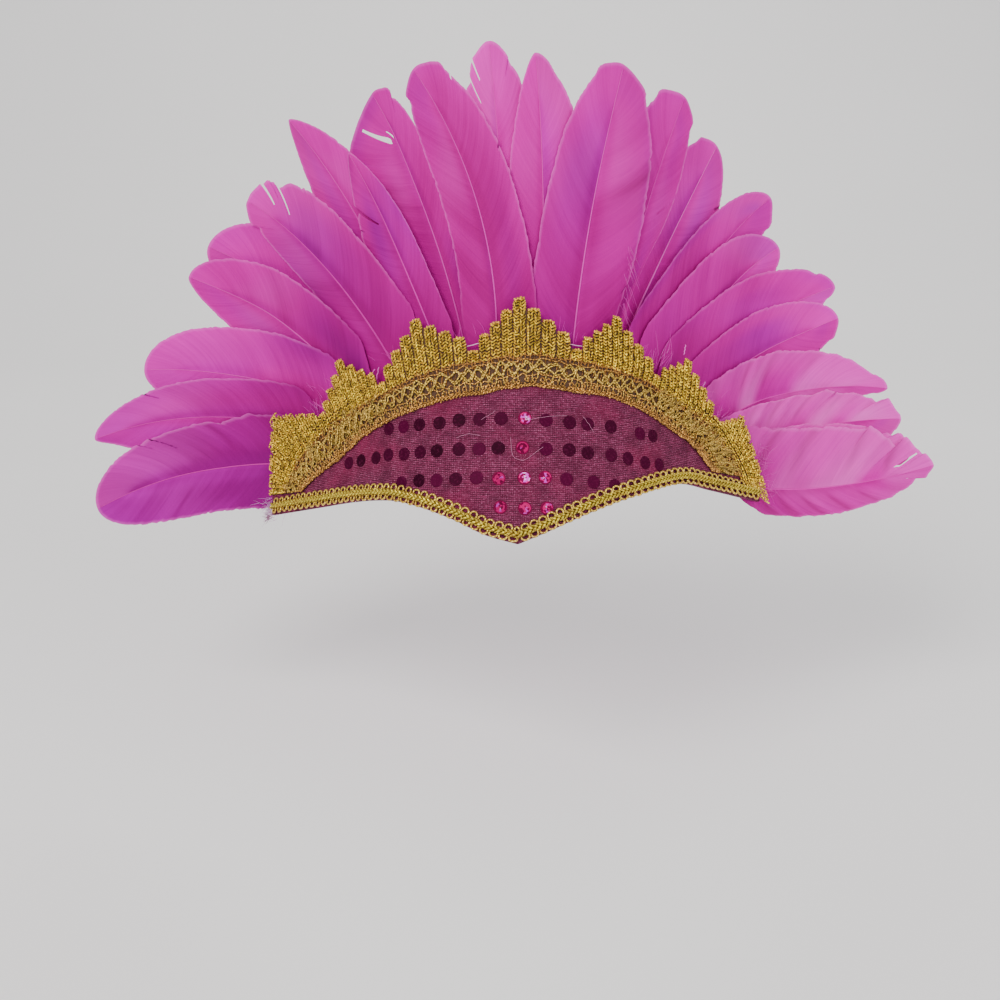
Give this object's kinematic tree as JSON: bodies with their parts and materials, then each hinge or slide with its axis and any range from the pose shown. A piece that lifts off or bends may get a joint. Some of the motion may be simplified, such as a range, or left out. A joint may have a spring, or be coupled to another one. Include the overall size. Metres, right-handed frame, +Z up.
{
  "type": "carnival feather headdress",
  "caption": "Crown-shaped feather headdress: bent fabric-covered front panel, gold lace and braid trim, a fan of dyed goose feathers and an elastic band.",
  "frame": {"origin": "middle of the front panel's back face, where it rests on a forehead, 40 mm up the sloping panel from its V tip", "axes": "+X to the right as seen from in front, +Y from the front of the headdress to its back, +Z up as it is worn"},
  "size_m": [0.4871, 0.207, 0.2629],
  "materials": {
    "woven_fabric": "woven purple fabric with sequins on a stiff board",
    "gold_lace": "gold metallic yarn lace",
    "gold_braid": "gold metallic gimp braid",
    "dyed_feather": "magenta dyed goose feather, soft sheen",
    "elastic": "black knitted elastic"
  },
  "bodies": {
    "root": {"front_panel": "woven_fabric", "hem_braid": "gold_braid", "crown_lace": "gold_lace", "elastic_band": "elastic", "feather_left_01": "dyed_feather", "feather_left_02": "dyed_feather", "feather_left_03": "dyed_feather", "feather_left_04": "dyed_feather", "feather_left_05": "dyed_feather", "feather_left_06": "dyed_feather", "feather_left_07": "dyed_feather", "feather_left_08": "dyed_feather", "feather_left_09": "dyed_feather", "feather_left_10": "dyed_feather", "feather_centre_01": "dyed_feather", "feather_centre_02": "dyed_feather", "feather_centre_03": "dyed_feather", "feather_right_01": "dyed_feather", "feather_right_02": "dyed_feather", "feather_right_03": "dyed_feather", "feather_right_04": "dyed_feather", "feather_right_05": "dyed_feather", "feather_right_06": "dyed_feather", "feather_right_07": "dyed_feather", "feather_right_08": "dyed_feather", "feather_right_09": "dyed_feather", "feather_right_10": "dyed_feather"}
  },
  "joints": []
}
